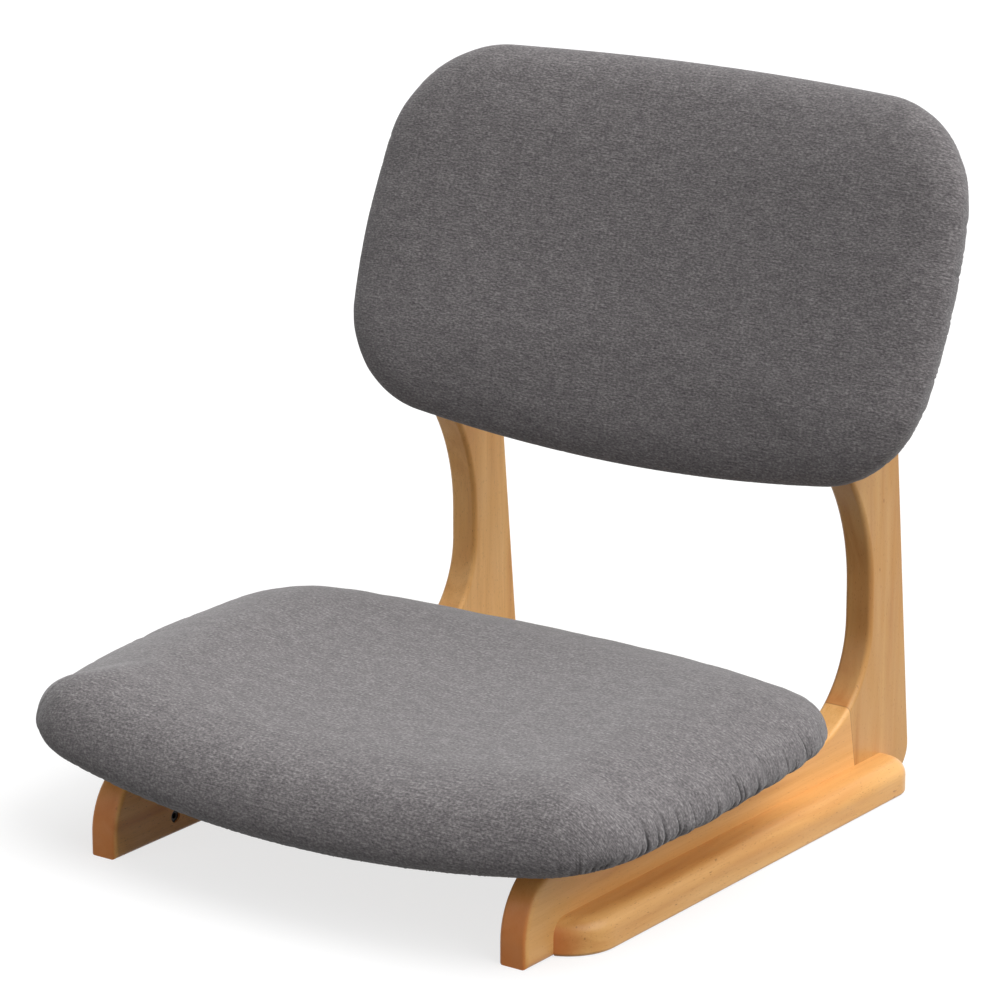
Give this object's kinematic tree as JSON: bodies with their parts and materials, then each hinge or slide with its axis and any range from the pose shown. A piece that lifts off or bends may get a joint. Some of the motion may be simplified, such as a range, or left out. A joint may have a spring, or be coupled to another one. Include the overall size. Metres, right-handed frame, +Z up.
{
  "type": "legless floor chair",
  "caption": "Legless floor chair for meditation: two wooden side frames on floor bars carry an upholstered seat and a reclined upholstered back, both gently bent across.",
  "frame": {"origin": "middle of the chair's footprint, on the floor", "axes": "+Z up, the sitter faces -Y, +X is the viewer's right seen from the front"},
  "size_m": [0.5056, 0.5244, 0.4883],
  "materials": {
    "frame_wood": "honey-coloured beech under a satin clear lacquer",
    "plywood": "raw birch plywood",
    "cover_fabric": "heathered mid-grey woven fabric, matt",
    "foam": "open-cell upholstery foam",
    "elastic": "black woven elastic",
    "black_steel": "black oxide screws and bolts",
    "zinc_steel": "bright zinc"
  },
  "bodies": {
    "root": {"left_side_rail": "frame_wood", "left_upright": "frame_wood", "left_floor_bar": "frame_wood", "left_rail_dowels": "frame_wood", "left_floor_bar_screws": "black_steel", "right_side_rail": "frame_wood", "right_upright": "frame_wood", "right_floor_bar": "frame_wood", "right_rail_dowels": "frame_wood", "right_floor_bar_screws": "black_steel", "front_cross_rail": "frame_wood", "rear_cross_rail": "frame_wood", "seat_board": "plywood", "seat_foam": "foam", "seat_cover": "cover_fabric", "seat_cover_elastic": "elastic", "seat_t_nuts": "zinc_steel", "seat_bolts": "black_steel", "seat_washers": "zinc_steel", "back_board": "plywood", "back_foam": "foam", "back_cover": "cover_fabric", "back_cover_elastic": "elastic", "back_t_nuts": "zinc_steel", "back_bolts": "black_steel", "back_washers": "zinc_steel"}
  },
  "joints": []
}
